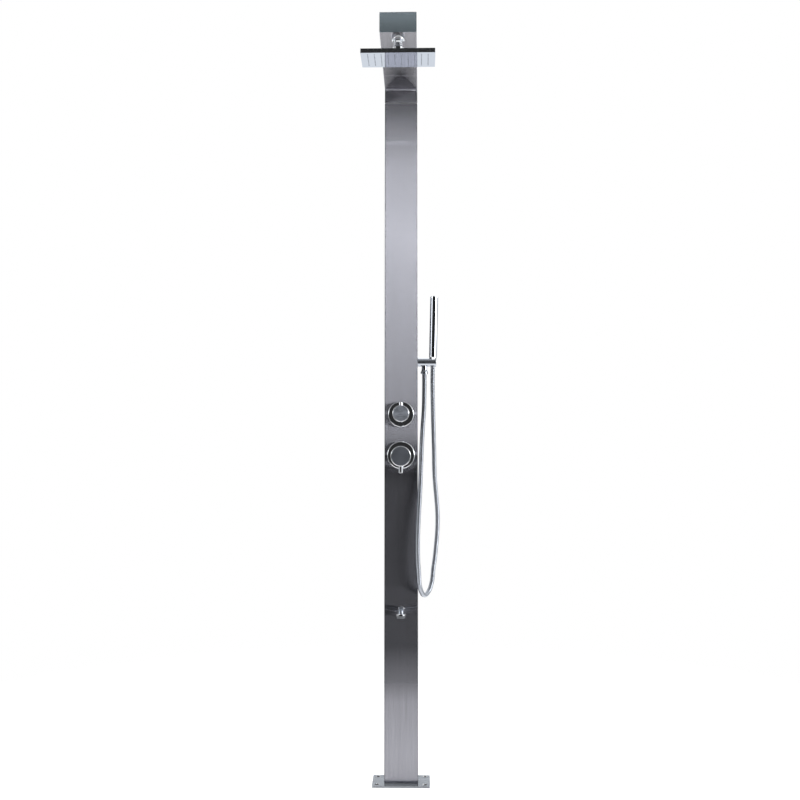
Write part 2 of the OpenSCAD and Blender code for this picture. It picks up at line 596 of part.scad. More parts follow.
module handset_hose_nut() color(chrome_c) stick_frame() difference() {
  union() {
    translate([0, 0, -9]) cylinder(r = 8.3, h = 9.6);
    translate([0, 0, 0.6]) cylinder(r1 = 8.3, r2 = stick_d/2 - 0.2, h = 14.4);
    translate([0, 0, 15]) cylinder(r = stick_d/2 - 0.2, h = 2);
  }
  translate([0, 0, -10]) cylinder(r = hose_d/2 + 0.3, h = 25.2);
  translate([0, 0, 14]) cylinder(r = 4, h = 4);
}
insert_z = 105;
insert_h = 84;
module handset_body() color(chrome_c) stick_frame() difference() {
  translate([0, 0, 17]) cylinder(d = stick_d, h = stick_l - 17 - 6);
  translate([0, 0, 24]) cylinder(r = stick_d/2 - 2.5, h = stick_l);
  translate([0, 0, 10]) cylinder(r = 4, h = 30);
  translate([-6, 0, insert_z]) cube([12, 20, insert_h]);
}
module handset_cap() color(chrome_c) stick_frame() translate([0, 0, stick_l - 6]) {
  puck(stick_d/2, 6, 2);
  translate([0, 0, -5]) cylinder(r = stick_d/2 - 2.5, h = 5.5);
}
module handset_spray_insert() color(white_plastic) stick_frame() {
  difference() {
    intersection() {
      translate([-6, 0, insert_z]) cube([12, 20, insert_h]);
      translate([0, 0, insert_z]) cylinder(d = stick_d - 1, h = insert_h);
    }
    translate([0, 0, insert_z - 1]) cylinder(r = stick_d/2 - 2.5, h = insert_h + 2);
  }
  for (i = [0:8], x = [-3, 0, 3]) translate([x, stick_d/2 - 1.4, insert_z + 10 + i*8]) rotate([-90, 0, 0])
    cylinder(r = 0.8, h = 1.8, $fn = 16);
}

// ---------- foot spout ----------
module elbow_solid(r) {
  translate([0, -8, spout_z]) rotate([90, 0, 0]) cylinder(r = r, h = -spout_y - 8 - spout_bend);
  translate([0, spout_y + spout_bend, spout_z - spout_bend]) rotate([90, 0, -90])
    rotate_extrude(angle = 90) translate([spout_bend, 0]) circle(r, $fn = 48);
  translate([0, spout_y, spout_z - 18]) cylinder(r = r, h = 18 - spout_bend);
}
module spout_pipe() color(chrome_c) difference() {
  union() {
    elbow_solid(spout_d/2);
    front(spout_z) translate([0, 0, -sheet_t - 14]) cylinder(r = 11, h = 14);
    translate([0, -12, spout_z]) cylinder(r = 6.5, h = 22);
  }
  elbow_solid(4);
  translate([0, -12, spout_z]) cylinder(r = 4, h = 30);
}
module spout_rosette() color(chrome_c) front(spout_z) difference() {
  puck(spout_d/2 + 2, 2, 0.8);
  translate([0, 0, -1]) cylinder(r = spout_d/2 + 0.05, h = 10);
}
module spout_nozzle() color(chrome_c) translate([0, spout_y, spout_z]) difference() {
  union() {
    translate([0, 0, -10.5]) cylinder(r1 = spout_nozzle_d/2, r2 = 11, h = 10.5 - spout_bend - 0.05);
    translate([0, 0, -15]) cylinder(d = spout_nozzle_d, h = 4.5);
    translate([0, 0, -23]) cylinder(r1 = 11, r2 = spout_nozzle_d/2, h = 8);
  }
  translate([0, 0, -18]) cylinder(r = spout_d/2 + 0.1, h = 20);
  translate([0, 0, -25]) cylinder(r = 8, h = 6);
  translate([0, 0, -20]) cylinder(r = 4, h = 5);
}

base_plate();
foot_socket();
foot_screws();
inlet_bracket();
inlet_nipples();
lock_nuts();
column_shell();
corner_bend();
arm_shell();
arm_end_cap();
rear_access_panel();
panel_screws();
cold_supply_hose();
hot_supply_hose();
hose_ferrules();
mixed_water_pipe();
riser_pipe();
handset_feed_hose();
foot_feed_hose();
valve_gaskets();
mixer_body();
mixer_cartridge();
cartridge_ring();
mixer_nut();
mixer_escutcheon();
mixer_sleeve();
mixer_spindle();
mixer_cross_pin();
mixer_stem();
mixer_handle();
mixer_lever();
mixer_grub_screw();
diverter_body();
diverter_cartridge();
diverter_nut();
diverter_escutcheon();
diverter_stem();
diverter_knob();
diverter_pin();
diverter_grub_screw();
head_union();
ball_stem();
ball_seat_inner();
ball_seat_outer();
head_collar();
head_top_shell();
head_face_plate();
nozzle_mat();
holder_bar();
feed_elbow();
outlet_nipple();
hose_lower_nut();
shower_hose();
handset_hose_nut();
handset_body();
handset_cap();
handset_spray_insert();
spout_pipe();
spout_rosette();
spout_nozzle();
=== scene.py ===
import json
import math

import bpy
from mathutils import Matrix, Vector


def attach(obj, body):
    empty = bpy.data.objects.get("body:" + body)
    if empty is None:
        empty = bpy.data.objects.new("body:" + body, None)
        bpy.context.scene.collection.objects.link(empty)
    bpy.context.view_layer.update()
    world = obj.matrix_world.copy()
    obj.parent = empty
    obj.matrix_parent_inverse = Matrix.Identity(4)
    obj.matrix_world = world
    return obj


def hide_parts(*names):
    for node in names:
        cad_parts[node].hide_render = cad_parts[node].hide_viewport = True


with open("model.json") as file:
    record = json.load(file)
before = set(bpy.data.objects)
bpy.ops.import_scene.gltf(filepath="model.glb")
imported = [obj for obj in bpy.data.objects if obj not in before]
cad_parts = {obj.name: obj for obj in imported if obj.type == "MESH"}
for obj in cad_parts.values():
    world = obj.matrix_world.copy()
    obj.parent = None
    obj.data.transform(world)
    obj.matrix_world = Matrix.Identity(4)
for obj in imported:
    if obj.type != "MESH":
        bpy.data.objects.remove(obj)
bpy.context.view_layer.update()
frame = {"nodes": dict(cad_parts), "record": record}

nodes = frame["nodes"]
scene = bpy.context.scene


# ------------------------------------------------------------------ camera
def make_camera():
    data = bpy.data.cameras.new("camera")
    data.sensor_width = 36.0
    data.lens = 42.678
    data.clip_end = 60.0
    cam = bpy.data.objects.new("camera", data)
    cam.location = (0.0606, -2.8837, 0.9284)
    cam.rotation_euler = (math.radians(94.12), 0.0, math.radians(1.28))
    scene.collection.objects.link(cam)
    scene.camera = cam


make_camera()


# ------------------------------------------------------------------ mesh helpers
def new_object(name, verts, faces, smooth=True):
    mesh = bpy.data.meshes.new(name)
    mesh.from_pydata([tuple(v) for v in verts], [], faces)
    mesh.validate()
    mesh.update()
    for poly in mesh.polygons:
        poly.use_smooth = smooth
    obj = bpy.data.objects.new(name, mesh)
    scene.collection.objects.link(obj)
    return obj


def through(points, step):
    """Points a fixed step apart on one smooth curve through the given ones."""
    p = [Vector(q) for q in points]
    p = [p[0] * 2 - p[1]] + p + [p[-1] * 2 - p[-2]]
    dense = []
    for i in range(1, len(p) - 2):
        a, b, c, d = p[i - 1], p[i], p[i + 1], p[i + 2]
        t0 = 0.0
        t1 = t0 + math.sqrt((b - a).length)
        t2 = t1 + math.sqrt((c - b).length)
        t3 = t2 + math.sqrt((d - c).length)
        for k in range(60):
            t = t1 + (t2 - t1) * k / 60
            a1 = a * ((t1 - t) / (t1 - t0)) + b * ((t - t0) / (t1 - t0))
            a2 = b * ((t2 - t) / (t2 - t1)) + c * ((t - t1) / (t2 - t1))
            a3 = c * ((t3 - t) / (t3 - t2)) + d * ((t - t2) / (t3 - t2))
            b1 = a1 * ((t2 - t) / (t2 - t0)) + a2 * ((t - t0) / (t2 - t0))
            b2 = a2 * ((t3 - t) / (t3 - t1)) + a3 * ((t - t1) / (t3 - t1))
            dense.append(b1 * ((t2 - t) / (t2 - t1)) + b2 * ((t - t1) / (t2 - t1)))
    dense.append(p[-2])
    total = sum((b - a).length for a, b in zip(dense, dense[1:]))
    count = round(total / step)
    step = total / count
    line, walked, want = [dense[0]], 0.0, step
    for a, b in zip(dense, dense[1:]):
        run = (b - a).length
        while walked + run >= want - 1e-12 and len(line) < count:
            line.append(a.lerp(b, (want - walked) / run))
            want += step
        walked += run
    line.append(dense[-1])
    return line, total


def tube(name, line, sides, radius):
    """Tube along the line; radius(i, angle) gives its radius. The rings don't twist."""
    verts, faces = [], []
    heading = (line[1] - line[0]).normalized()
    side = heading.orthogonal().normalized()
    for i, point in enumerate(line):
        now = (line[min(i + 1, len(line) - 1)] - line[max(i - 1, 0)]).normalized()
        side = (side - now * side.dot(now)).normalized()
        up = now.cross(side)
        for j in range(sides):
            angle = 2 * math.pi * j / sides
            verts.append(point + (side * math.cos(angle) + up * math.sin(angle)) * radius(i, angle))
    for i in range(len(line) - 1):
        for j in range(sides):
            k = (j + 1) % sides
            faces.append((i * sides + j, i * sides + k, (i + 1) * sides + k, (i + 1) * sides + j))
    faces.append(tuple(reversed(range(sides))))
    faces.append(tuple((len(line) - 1) * sides + j for j in range(sides)))
    return new_object(name, verts, faces)


# ------------------------------------------------------------------ the hose, first of all
HOSE_D = 0.014
HOSE_ROUTE = [
    (70.5, 0, 1216), (70.5, 0, 1184), (70, -2, 1148), (69, -6, 1108), (66, -12, 1064), (63, -19, 1014),
    (61, -27, 968), (59.5, -33, 926), (58, -37, 886), (56, -41, 846), (53.5, -46, 800), (51, -50.5, 750),
    (49.8, -54.5, 700), (50.8, -57, 650), (53, -57, 620), (54.5, -54.5, 590.5), (56.5, -48.5, 577),
    (59.5, -39.5, 565.5), (63.5, -28, 556.5), (68, -14.5, 551), (72.5, 0, 549), (77.5, 14.5, 551),
    (82.5, 28, 556.5), (87.5, 39.5, 565.5), (91, 48.5, 577), (94, 54.5, 590.5), (97, 58, 620),
    (102, 58, 655), (106, 56, 694), (109.3, 53.5, 732), (110.5, 49, 768), (109.5, 43, 806), (106, 35, 848),
    (102.5, 28, 890), (100.5, 22, 930), (100, 18, 968), (99, 14, 1014), (97.5, 9, 1070), (96.3, 4, 1130),
    (95.5, 1, 1180), (95.8, 0, 1220), (96.3, 0, 1242), (96.8, 0, 1265.5),
]
hose_line, hose_length = through([(x / 1000, y / 1000, z / 1000) for x, y, z in HOSE_ROUTE], 0.00075)


def make_hose():
    rib = 0.0046
    step = hose_length / (len(hose_line) - 1)

    def radius(i, angle):
        turn = (i * step / rib + angle / (2 * math.pi)) % 1.0
        edge = abs(2 * turn - 1)
        return HOSE_D / 2 - 0.00005 - 0.0011 * edge ** 3

    hose = tube("spiral_hose", hose_line, 20, radius)
    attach(hose, "post")
    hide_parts("shower_hose")
    return hose


hose = make_hose()


# ------------------------------------------------------------------ node helpers
class Graph:
    """Short hand for building a node tree."""

    def __init__(self, tree):
        self.tree = tree
        tree.nodes.clear()

    def put(self, socket, value):
        if isinstance(value, bpy.types.NodeSocket):
            self.tree.links.new(value, socket)
        else:
            socket.default_value = value

    def add(self, kind, sockets=None, **settings):
        node = self.tree.nodes.new("ShaderNode" + kind)
        for key, value in settings.items():
            setattr(node, key, value)
        for key, value in (sockets or {}).items():
            self.put(node.inputs[key], value)
        return node

    def math(self, operation, a, b=0.0, clamp=False):
        return self.add("Math", {0: a, 1: b}, operation=operation, use_clamp=clamp).outputs[0]

    def vector(self, operation, a, b=(0.0, 0.0, 0.0)):
        node = self.add("VectorMath", {0: a, 1: b}, operation=operation)
        return node.outputs["Value"] if operation in ("LENGTH", "DOT_PRODUCT", "DISTANCE") else node.outputs["Vector"]

    def place(self):
        return self.add("TexCoord").outputs["Object"]

    def scaled(self, vector, scale):
        return self.vector("MULTIPLY", vector, tuple(scale))

    def noise(self, vector, detail=2.0, roughness=0.5, scale=1.0):
        sockets = {"Vector": vector, "Scale": scale, "Detail": detail, "Roughness": roughness}
        return self.add("TexNoise", sockets).outputs[0]

    def span(self, value, low, high, out_low=0.0, out_high=1.0, kind="LINEAR"):
        sockets = {"Value": value, "From Min": low, "From Max": high, "To Min": out_low, "To Max": out_high}
        return self.add("MapRange", sockets, interpolation_type=kind, clamp=True).outputs["Result"]

    def ramp(self, value, stops, interpolation="LINEAR"):
        node = self.add("ValToRGB", {"Fac": value})
        band = node.color_ramp
        band.interpolation = interpolation
        band.elements.remove(band.elements[-1])
        for i, (place, colour) in enumerate(stops):
            if isinstance(colour, (int, float)):
                colour = (colour, colour, colour)
            element = band.elements[0] if i == 0 else band.elements.new(place)
            element.position = place
            element.color = (*colour, 1.0)
        return node.outputs["Color"]

    def mix(self, factor, a, b):
        node = self.add("MixRGB", {"Fac": factor})
        for socket, value in ((node.inputs["Color1"], a), (node.inputs["Color2"], b)):
            self.put(socket, value if isinstance(value, bpy.types.NodeSocket) else (*value, 1.0))
        return node.outputs["Color"]

    def parts(self, vector):
        return self.add("SeparateXYZ", {"Vector": vector}).outputs

    def bump(self, height, strength, distance, normal=None):
        sockets = {"Height": height, "Strength": strength, "Distance": distance}
        if normal is not None:
            sockets["Normal"] = normal
        return self.add("Bump", sockets).outputs["Normal"]

    def finish(self, colour, rough, normal=None, tangent=None, **fixed):
        sockets = {"Base Color": colour, "Roughness": rough}
        if normal is not None:
            sockets["Normal"] = normal
        if tangent is not None:
            sockets["Tangent"] = tangent
        shader = self.add("BsdfPrincipled", sockets)
        for key, value in fixed.items():
            shader.inputs[key.replace("_", " ")].default_value = value
        self.add("OutputMaterial", {"Surface": shader.outputs["BSDF"]})
        return shader


def material(name):
    mat = bpy.data.materials.new(name)
    mat.use_nodes = True
    return mat, Graph(mat.node_tree)


# ------------------------------------------------------------------ materials
STEEL = (0.503, 0.498, 0.545)


def brushed(name, along, rough=0.25, base=STEEL, contrast=1.0, shine=None, painted_edge_shade=False, relief=0.35,
            spread=-0.98):
    """Brushed stainless steel. along is the axis of the grain: 0, 1 or 2, or "bend" at the corner. Its shine spreads
    widely across the grain and hardly along it; shine names another axis for the shine where it differs."""
    mat, g = material(name)
    place = g.place()
    if along == "bend":
        # turned with the bend: the grain follows the arc, so the distance along it is the angle times the radius
        x, y, z = g.parts(g.vector("SUBTRACT", place, (0.0, -0.0325, 2.092)))
        rise = g.math("MAXIMUM", z, 0.0)
        drop = g.math("MINIMUM", z, 0.0)
        angle = g.math("ARCTAN2", rise, y)
        away = g.math("SQRT", g.math("ADD", g.math("MULTIPLY", y, y), g.math("MULTIPLY", rise, rise)))
        run = g.math("ADD", g.math("MULTIPLY", angle, 0.0325), drop)
        place = g.add("CombineXYZ", {"X": x, "Y": away, "Z": run}).outputs[0]
        grain_way = g.add("CombineXYZ", {"X": 0.0, "Y": g.math("MULTIPLY", rise, -1.0), "Z": y}).outputs[0]
        normal_way = g.add("NewGeometry").outputs["Normal"]
        tangent = g.vector("CROSS_PRODUCT", normal_way, grain_way)
        along = 2
    else:
        tangent = g.add("Tangent", direction_type="RADIAL", axis="XYZ"[along if shine is None else shine]).outputs["Tangent"]

    def stretched(across, length):
        scale = [across] * 3
        scale[along] = length
        return g.scaled(place, scale)

    hair = g.noise(stretched(1500.0, 16.0), 2.0, 0.6)
    line = g.noise(stretched(420.0, 5.0), 3.0, 0.6)
    streak = g.noise(stretched(95.0, 1.6), 2.0, 0.5)
    cloud = g.noise(g.scaled(place, (11.0, 11.0, 5.0)), 2.0, 0.5)
    tone = g.math("ADD", g.math("MULTIPLY", line, 0.55), g.math("MULTIPLY", hair, 0.45))
    tone = g.math("ADD", g.math("MULTIPLY", tone, 0.88), g.math("MULTIPLY", streak, 0.12))
    low, high = 1.0 - 0.17 * contrast, 1.0 + 0.17 * contrast
    colour = g.ramp(
        g.span(tone, 0.3, 0.7),
        [(0.0, tuple(c * low for c in base)), (0.5, base), (1.0, tuple(min(c * high, 1.0) for c in base))],
    )
    colour = g.mix(g.span(cloud, 0.35, 0.65, 0.0, 0.10), colour, tuple(c * 0.82 for c in base))
    # Painted shade: the front face is darkened towards its two long edges, more on the left than on the right.
    if painted_edge_shade:
        x, y, z = g.parts(g.place())
        edge = g.math("MAXIMUM", g.span(x, -0.0500, -0.0460, 0.75, 0.0), g.span(x, 0.0470, 0.0498, 0.0, 0.60))
        edge = g.math("MULTIPLY", edge, g.span(y, -0.0262, -0.0250, 1.0, 0.0))
        colour = g.mix(edge, colour, tuple(c * 0.30 for c in base))
    wear = g.math("ADD", g.span(streak, 0.3, 0.7, -0.03, 0.03), g.span(hair, 0.3, 0.7, -0.03, 0.03))
    roughness = g.math("ADD", wear, g.span(cloud, 0.3, 0.7, rough - 0.015, rough + 0.02))
    height = g.math("ADD", g.math("MULTIPLY", hair, 0.6), g.math("MULTIPLY", line, 0.9))
    normal = g.bump(height, relief, 0.000035)
    shader = g.add("BsdfAnisotropic", {"Color": colour, "Roughness": roughness, "Normal": normal, "Tangent": tangent})
    shader.distribution = "MULTI_GGX"
    shader.inputs["Anisotropy"].default_value = spread
    g.add("OutputMaterial", {"Surface": shader.outputs["BSDF"]})
    return mat


def chrome(name, base=(0.86, 0.87, 0.89), rough=0.045):
    """Polished plating, with the faint wipe marks and water spots that it gets outdoors."""
    mat, g = material(name)
    place = g.place()
    wipe = g.noise(g.scaled(place, (120.0, 120.0, 50.0)), 4.0, 0.6)
    spots = g.add("TexVoronoi", {"Vector": g.scaled(place, (210.0, 210.0, 210.0)), "Scale": 1.0}).outputs["Distance"]
    spot = g.span(spots, 0.10, 0.16, 1.0, 0.0, "SMOOTHSTEP")
    roughness = g.math("ADD", g.span(wipe, 0.35, 0.7, rough - 0.015, rough + 0.03), g.math("MULTIPLY", spot, 0.04))
    colour = g.mix(g.span(wipe, 0.4, 0.7, 0.0, 0.12), base, tuple(c * 0.86 for c in base))
    scratch = g.noise(g.scaled(place, (900.0, 900.0, 40.0)), 2.0, 0.5)
    normal = g.bump(scratch, 0.15, 0.00001)
    g.finish(colour, roughness, normal, Metallic=1.0)
    return mat


def spun(name, centre_z, base=(0.80, 0.81, 0.84), rough=0.36):
    """Front face of a turned knob: fine rings about its own axis."""
    mat, g = material(name)
    place = g.place()
    flat = g.scaled(g.vector("SUBTRACT", place, (0.0, 0.0, centre_z)), (1.0, 0.0, 1.0))
    radius = g.vector("LENGTH", flat)
    ring = g.add("CombineXYZ", {"X": g.math("MULTIPLY", radius, 2600.0), "Y": 0.0, "Z": 0.0}).outputs[0]
    band = g.add("CombineXYZ", {"X": g.math("MULTIPLY", radius, 380.0), "Y": 3.0, "Z": 0.0}).outputs[0]
    fine = g.noise(ring, 2.0, 0.6)
    wide = g.noise(band, 1.0, 0.5)
    tone = g.math("ADD", g.math("MULTIPLY", fine, 0.6), g.math("MULTIPLY", wide, 0.4))
    colour = g.ramp(
        g.span(tone, 0.3, 0.7), [(0.0, tuple(c * 0.8 for c in base)), (1.0, tuple(c * 1.12 for c in base))]
    )
    roughness = g.span(fine, 0.3, 0.7, rough - 0.04, rough + 0.04)
    normal = g.bump(g.math("ADD", fine, g.math("MULTIPLY", wide, 1.5)), 0.4, 0.00003)
    g.finish(colour, roughness, normal, g.vector("NORMALIZE", flat), Metallic=1.0, Anisotropic=0.6)
    return mat


def turned(name, base, rough, fine=900.0):
    """Machined or cast metal inside the post."""
    mat, g = material(name)
    place = g.place()
    marks = g.noise(g.scaled(place, (fine, fine, fine * 1.6)), 3.0, 0.6)
    patches = g.noise(g.scaled(place, (45.0, 45.0, 45.0)), 3.0, 0.55)
    colour = g.ramp(
        g.math("ADD", g.math("MULTIPLY", marks, 0.4), g.math("MULTIPLY", patches, 0.6)),
        [(0.3, tuple(c * 0.72 for c in base)), (0.7, tuple(min(c * 1.12, 1.0) for c in base))],
    )
    roughness = g.span(patches, 0.3, 0.7, rough - 0.06, rough + 0.08)
    g.finish(colour, roughness, g.bump(marks, 0.5, 0.00006), Metallic=1.0)
    return mat


def moulded(name, base, rough, specular=0.5):
    """Moulded plastic or rubber, with a fine texture and slight shade changes."""
    mat, g = material(name)
    place = g.place()
    pebble = g.noise(g.scaled(place, (1400.0, 1400.0, 1400.0)), 2.0, 0.5)
    shade = g.noise(g.scaled(place, (30.0, 30.0, 30.0)), 2.0, 0.5)
    colour = g.mix(g.span(shade, 0.35, 0.65), tuple(c * 0.92 for c in base), tuple(min(c * 1.05, 1.0) for c in base))
    roughness = g.span(pebble, 0.3, 0.7, rough - 0.06, rough + 0.06)
    g.finish(colour, roughness, g.bump(pebble, 0.4, 0.00004), Specular_IOR_Level=specular)
    return mat


def braid(name, base=(0.55, 0.56, 0.58)):
    """Woven wire cover of the inner hoses: two crossing sets of strands."""
    mat, g = material(name)
    x, y, z = g.parts(g.place())
    around = g.math("MULTIPLY", g.math("ADD", x, y), 1500.0)
    up = g.math("MULTIPLY", z, 1500.0)
    one = g.math("SINE", g.math("ADD", around, up))
    two = g.math("SINE", g.math("SUBTRACT", around, up))
    weave = g.math("MULTIPLY", g.math("ADD", g.math("MAXIMUM", one, two), 1.0), 0.5)
    colour = g.mix(g.span(weave, 0.2, 0.9), tuple(c * 0.35 for c in base), base)
    g.finish(colour, g.span(weave, 0.0, 1.0, 0.45, 0.28), g.bump(weave, 0.8, 0.0003), Metallic=0.9)
    return mat


def hose_metal(name, base=(0.42, 0.44, 0.48)):
    """Double-lock metal hose: plated ribs, with the grooves between them painted dark as shade and made duller."""
    mat, g = material(name)
    place = g.place()
    dirt = g.noise(g.scaled(place, (260.0, 260.0, 260.0)), 3.0, 0.6)
    rub = g.noise(g.scaled(place, (35.0, 35.0, 35.0)), 2.0, 0.5)
    groove_curvature = g.add("NewGeometry").outputs["Pointiness"]
    groove = g.span(groove_curvature, 0.45, 0.515, 1.0, 0.0)
    colour = g.mix(g.span(dirt, 0.3, 0.7, 0.0, 0.25), base, tuple(c * 0.75 for c in base))
    # Painted shade: the grooves between the ribs, found from the mesh's curvature, are darkened nearly to black.
    colour = g.mix(g.math("MULTIPLY", groove, 0.9), colour, tuple(c * 0.15 for c in base))
    roughness = g.math("ADD", g.span(rub, 0.3, 0.7, 0.10, 0.17), g.math("MULTIPLY", groove, 0.25))
    g.finish(colour, roughness, g.bump(dirt, 0.2, 0.00002), Metallic=1.0)
    return mat


# The upright steel has painted shade along the front edges of the column.
steel_z = brushed("brushed_upright", 2, contrast=0.8, painted_edge_shade=True)
looks = {
    "brushed_stainless": steel_z,
    "chrome": chrome("polished_chrome"),
    "plain_steel": turned("machined_steel", (0.52, 0.525, 0.54), 0.34),
    "brass": turned("cast_brass", (0.70, 0.50, 0.22), 0.36, 500.0),
    "white_plastic": moulded("white_acetal", (0.80, 0.80, 0.77), 0.42),
    "grey_plastic": moulded("grey_moulding", (0.24, 0.25, 0.26), 0.40),
    "black_rubber": moulded("black_rubber_moulding", (0.035, 0.035, 0.038), 0.62, 0.35),
    "grey_silicone": moulded("grey_silicone_moulding", (0.27, 0.29, 0.33), 0.55, 0.35),
    "braided_hose": braid("braided_cover"),
    "metal_hose": hose_metal("ribbed_plating"),
}
# Painted light and shade: each node here gets its own copy of the brushed steel or the chrome, with a base colour set
# lighter or darker part by part; these are lit and shaded copies of the same metals.
by_node = {
    "base_plate": brushed("brushed_plate", 0, 0.32, (0.73, 0.76, 0.81), 0.8),
    "arm_shell": brushed("brushed_arm", 1, 0.34, (0.80, 0.785, 0.825), 0.8),
    "corner_bend": brushed("brushed_corner", "bend", 0.25, (0.62, 0.615, 0.67), 0.9),
    "arm_end_cap": brushed("brushed_cap", 0, 0.26, (0.44, 0.52, 0.565), 1.3, 2, relief=0.08),
    "head_face_plate": chrome("polished_face", (0.70, 0.745, 0.82), 0.03),
    "head_top_shell": chrome("polished_shell", (0.80, 0.82, 0.85), 0.05),
    "spout_pipe": chrome("polished_spout", (0.36, 0.39, 0.44), 0.30),
    "holder_bar": chrome("polished_bar", (0.46, 0.48, 0.52), 0.05),
    "handset_body": chrome("polished_stick", (0.52, 0.54, 0.58), 0.04),
    "hose_lower_nut": chrome("polished_nut", (0.52, 0.54, 0.58), 0.06),
    "outlet_nipple": chrome("polished_nipple", (0.52, 0.54, 0.58), 0.06),
}
slots = {part["node"]: part["material_slot"] for part in frame["record"]["subparts"]}
for name, obj in nodes.items():
    look = by_node.get(name) or looks[slots[name]]
    obj.data.materials.clear()
    obj.data.materials.append(look)
hose.data.materials.append(looks["metal_hose"])


def face_finish_and_shade(node, look, way, least):
    """Gives the flat faces that look a certain way a material of their own; this carries both finishes and painted
    shade.
    """
    mesh = nodes[node].data
    mesh.materials.append(look)
    way = Vector(way).normalized()
    for poly in mesh.polygons:
        if poly.normal.dot(way) > least:
            poly.material_index = 1


def shade_the_sides():
    """The two sides of the column and of its corner get a copy of the brushed steel with a much darker base colour
    than the front: painted shade.
    """
    sides_shaded_copy = brushed("brushed_sides_painted_shade", 2, 0.25, (0.25, 0.25, 0.268), 0.8, spread=-0.96)
    for name in ("column_shell", "corner_bend"):
        mesh = nodes[name].data
        mesh.materials.append(sides_shaded_copy)
        for poly in mesh.polygons:
            if abs(poly.normal.x) > 0.9:
                poly.material_index = len(mesh.materials) - 1


def bore_shade_and_glint():
    """The walls of the anchor holes are painted dark as shade, and their chamfered edges get a near-white polished
    copy as a painted highlight.
    """
    mesh = nodes["base_plate"].data
    mesh.materials.append(turned("bore_painted_shade", (0.13, 0.135, 0.145), 0.5))
    mesh.materials.append(chrome("chamfer_painted_highlight", (0.95, 0.95, 0.95), 0.12))
    for poly in mesh.polygons:
        x, y = abs(poly.center.x) - 0.070, abs(poly.center.y) - 0.036
        if math.hypot(x, y) < 0.0061 and abs(poly.normal.z) < 0.3:
            poly.material_index = 1
        elif math.hypot(x, y) < 0.0080 and 0.3 < poly.normal.z < 0.95:
            poly.material_index = 2


shade_the_sides()
bore_shade_and_glint()
# Painted light and shade: both knob faces get the same spun finish, but the diverter's copy has a light base colour
# and the mixer's a dark one.
face_finish_and_shade("diverter_knob", spun("spun_diverter", 1.091, (0.74, 0.785, 0.87), 0.42), (0, -1, 0), 0.999)
# Painted shade: the downward faces of the nozzle get a near-black moulding.
face_finish_and_shade("spout_nozzle", moulded("nozzle_underside_painted_shade", (0.10, 0.105, 0.115), 0.35), (0, 0, -1), 0.2)
tilt = math.radians(6)
face_finish_and_shade("mixer_handle", spun("spun_mixer", 0.964, (0.31, 0.33, 0.375), 0.36), (0, -math.cos(tilt), -math.sin(tilt)), 0.999)


# ------------------------------------------------------------------ weld seams
def seam(name, place, corners, proud, width, lid=None):
    """A low, dressed weld bead on a closed path round the tube. place(u, v, w) gives the row frame."""
    around = []
    (w, h), r = corners, 0.002
    for cx, cy, start in ((w / 2 - r, h / 2 - r, 0), (-w / 2 + r, h / 2 - r, 90), (-w / 2 + r, -h / 2 + r, 180), (w / 2 - r, -h / 2 + r, 270)):
        for k in range(9):
            a = math.radians(start + 90 * k / 8)
            around.append((cx + r * math.cos(a), cy + r * math.sin(a), math.cos(a), math.sin(a)))
    loop = []
    for a, b in zip(around, around[1:] + around[:1]):
        gap = math.hypot(b[0] - a[0], b[1] - a[1])
        cuts = max(1, round(gap / 0.0006))
        loop += [tuple(a[i] + (b[i] - a[i]) * k / cuts for i in range(4)) for k in range(cuts)]
    verts, faces, rows = [], [], 7
    for i, (u, v, nu, nv) in enumerate(loop):
        ripple = 0.82 + 0.18 * math.sin(i * 0.0006 / 0.0017 * 2 * math.pi)
        for j in range(rows):
            t = -1 + 2 * j / (rows - 1)
            out = proud * (1 - t * t) * ripple - 0.00002
            point = list(place(u + nu * out, v + nv * out, t * width / 2))
            if lid is not None:
                point[2] = min(point[2], lid)
            verts.append(point)
    n = len(loop)
    for i in range(n):
        for j in range(rows - 1):
            k = (i + 1) % n
            faces.append((i * rows + j, k * rows + j, k * rows + j + 1, i * rows + j + 1))
    obj = new_object(name, verts, faces)
    obj.data.materials.append(weld)
    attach(obj, "post")
    return obj


def weld_metal():
    mat, g = material("dressed_weld")
    place = g.place()
    grain = g.noise(g.scaled(place, (500.0, 500.0, 500.0)), 3.0, 0.6)
    heat = g.noise(g.scaled(place, (60.0, 60.0, 60.0)), 2.0, 0.5)
    colour = g.ramp(
        g.math("ADD", g.math("MULTIPLY", grain, 0.5), g.math("MULTIPLY", heat, 0.5)),
        [(0.3, (0.66, 0.66, 0.68)), (0.7, (0.82, 0.82, 0.84))],
    )
    g.finish(colour, g.span(grain, 0.3, 0.7, 0.30, 0.42), g.bump(grain, 0.5, 0.00004), Metallic=1.0)
    return mat


weld = weld_metal()
seam("column_seam", lambda u, v, w: (u, v, 2.054 + w), (0.100, 0.055), 0.00022, 0.0024)


